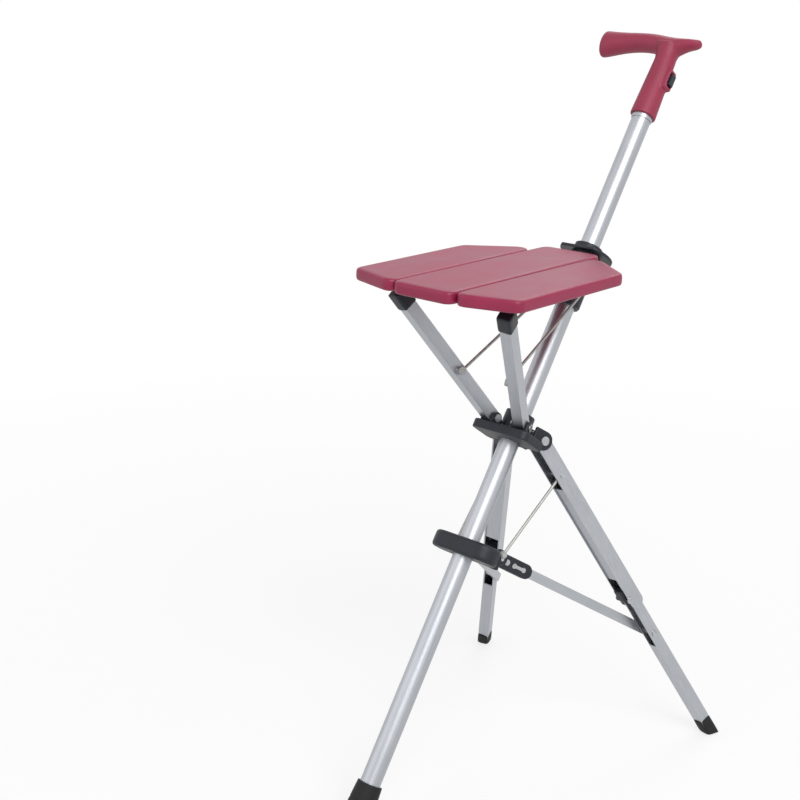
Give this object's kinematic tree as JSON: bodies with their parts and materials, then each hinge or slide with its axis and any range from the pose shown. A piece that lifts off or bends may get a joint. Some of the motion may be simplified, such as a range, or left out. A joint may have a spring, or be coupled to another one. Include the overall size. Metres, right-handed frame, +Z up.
{
  "type": "walking stick seat",
  "caption": "Cane with a curved handle that opens into a three-legged seat: the stick is the front leg, two folding rear legs and two struts carry a flat seat board with folding wings",
  "frame": {"origin": "centre of the bounding box on the floor plane, under the open seat", "axes": "+Z up, +X from the handle side to the rear of the seat feet side, -Y the near side in the picture"},
  "size_m": [0.4997, 0.3276, 0.7199],
  "materials": {
    "crimson": "satin moulded plastic",
    "aluminium": "satin anodised",
    "rubber": "matte",
    "black": "satin moulded plastic",
    "steel": "plated steel"
  },
  "bodies": {
    "hub": {"hub_body": "black", "hub_rivets": "steel", "collar_body": "black", "collar_flange": "black", "wire_pin_near": "steel", "wire_pin_far": "steel", "seat_centre_board": "crimson", "seat_hinge_pin": "steel", "groove_barrels_near": "crimson", "groove_barrels_far": "crimson", "groove_pin_near": "steel", "groove_pin_far": "steel", "seat_wing_near": "crimson", "wing_barrels_near": "crimson", "strut_near": "aluminium", "strut_shoe_near": "black", "wire_stud_near": "steel", "seat_wire_near": "steel", "seat_wing_far": "crimson", "wing_barrels_far": "crimson", "strut_far": "aluminium", "strut_shoe_far": "black", "wire_stud_far": "steel", "seat_wire_far": "steel"},
    "ring": {"ring_body": "black", "ring_pivot_near": "steel", "ring_pivot_far": "steel", "rod_stud_near": "steel", "rod_stud_far": "steel"},
    "stick": {"main_tube": "aluminium", "rubber_tip": "rubber", "handle_grip": "crimson", "handle_band": "steel"},
    "button": {"handle_button": "black"},
    "leg_near": {"leg_upper_near": "aluminium", "leg_rivets_near": "steel"},
    "lower_near": {"leg_lower_near": "aluminium", "knee_block_near": "black", "leg_foot_near": "rubber", "link_rivet_near": "steel"},
    "link_near": {"link_bar_near": "aluminium", "link_arm_near": "black", "arm_rivet_near": "steel"},
    "rod_near": {"leg_rod_near": "steel"},
    "leg_far": {"leg_upper_far": "aluminium", "leg_rivets_far": "steel"},
    "lower_far": {"leg_lower_far": "aluminium", "knee_block_far": "black", "leg_foot_far": "rubber", "link_rivet_far": "steel"},
    "link_far": {"link_bar_far": "aluminium", "link_arm_far": "black", "arm_rivet_far": "steel"},
    "rod_far": {"leg_rod_far": "steel"}
  },
  "joints": [
    {"name": "fold", "type": "hinge", "parent": "hub", "child": "leg_near", "pos_m": [0.00413, -0.02, 0.34033], "axis": [-0.3156, -0.9243, 0.2145], "range_deg": [0, 109.15]},
    {"name": "leg_far_swing", "type": "hinge", "parent": "hub", "child": "leg_far", "pos_m": [0.00413, 0.02, 0.34033], "axis": [0.3156, -0.9243, -0.2145], "range_deg": [0, 109.16]},
    {"name": "knee_near", "type": "hinge", "parent": "leg_near", "child": "lower_near", "pos_m": [0.07964, -0.08646, 0.16504], "axis": [0.3156, 0.9243, -0.2145], "range_deg": [0, 165.6]},
    {"name": "knee_far", "type": "hinge", "parent": "leg_far", "child": "lower_far", "pos_m": [0.07964, 0.08646, 0.16504], "axis": [-0.3156, 0.9243, 0.2145], "range_deg": [0, 165.6]},
    {"name": "ring_slide", "type": "slide", "parent": "hub", "child": "ring", "axis": [0.5621, 0, 0.8271], "range_m": [0, 0.05632]},
    {"name": "stick_slide", "type": "slide", "parent": "hub", "child": "stick", "axis": [-0.5621, 0, -0.8271], "range_m": [0, 0.07969]},
    {"name": "link_near_swing", "type": "hinge", "parent": "ring", "child": "link_near", "pos_m": [-0.0511, -0.01664, 0.23157], "axis": [-0.3156, -0.9243, 0.2145], "range_deg": [0, 82.99]},
    {"name": "link_far_swing", "type": "hinge", "parent": "ring", "child": "link_far", "pos_m": [-0.0511, 0.01664, 0.23157], "axis": [0.3156, -0.9243, -0.2145], "range_deg": [0, 82.99]},
    {"name": "rod_near_swing", "type": "hinge", "parent": "leg_near", "child": "rod_near", "pos_m": [0.02005, -0.03922, 0.30424], "axis": [0.3156, 0.9243, -0.2145], "range_deg": [0, 88.79]},
    {"name": "rod_far_swing", "type": "hinge", "parent": "leg_far", "child": "rod_far", "pos_m": [0.02005, 0.03922, 0.30424], "axis": [-0.3156, 0.9243, 0.2145], "range_deg": [0, 88.79]},
    {"name": "button_press", "type": "slide", "parent": "stick", "child": "button", "axis": [0, 1, 0], "range_m": [0, 0.002], "stiffness_N_per_m": 200}
  ],
  "couplings": [
    {"joint": "leg_far_swing", "follows": "fold", "ratio": 1},
    {"joint": "knee_near", "follows": "fold", "ratio": 1.5171},
    {"joint": "knee_far", "follows": "fold", "ratio": 1.5171},
    {"joint": "ring_slide", "follows": "fold", "m_per_rad": 0.029555},
    {"joint": "stick_slide", "follows": "fold", "m_per_rad": 0.041821},
    {"joint": "link_near_swing", "follows": "fold", "ratio": 0.76032},
    {"joint": "link_far_swing", "follows": "fold", "ratio": 0.76032},
    {"joint": "rod_near_swing", "follows": "fold", "ratio": 0.81344},
    {"joint": "rod_far_swing", "follows": "fold", "ratio": 0.81344}
  ]
}
